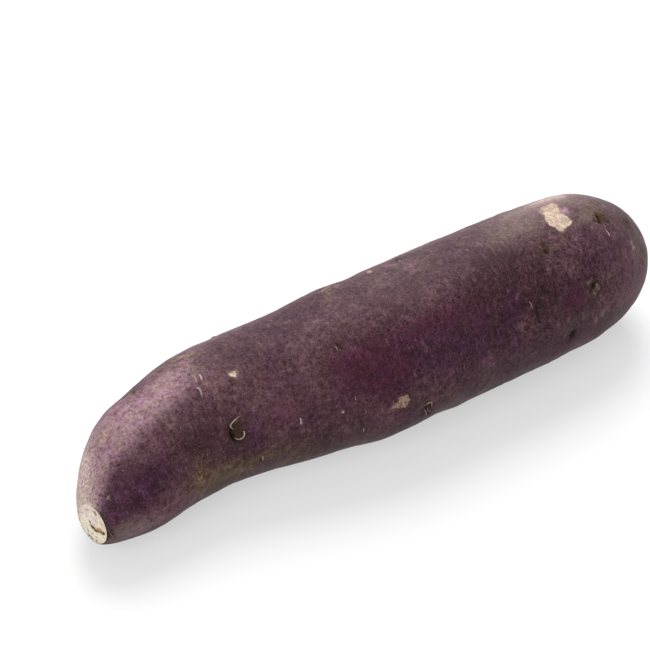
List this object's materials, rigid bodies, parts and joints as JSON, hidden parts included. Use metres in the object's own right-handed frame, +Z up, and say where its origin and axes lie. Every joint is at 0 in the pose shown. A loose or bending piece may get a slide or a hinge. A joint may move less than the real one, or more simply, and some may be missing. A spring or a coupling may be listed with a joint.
{
  "type": "purple sweet potato",
  "caption": "Whole raw purple sweet potato, a long blunt tuber lying on its side, with a pale cut stem end and a rounded root end.",
  "frame": {"origin": "on the surface that the tuber lies on, under the middle of its length and width", "axes": "+X along the length, from the cut stem end to the rounded root end; +Z up; the tuber lies on its side"},
  "size_m": [0.2234, 0.0584, 0.0533],
  "materials": {
    "skin": "matte",
    "cut_flesh": "matte",
    "dry_rootlet": "matte"
  },
  "bodies": {
    "root": {"tuber": "skin"}
  },
  "joints": []
}
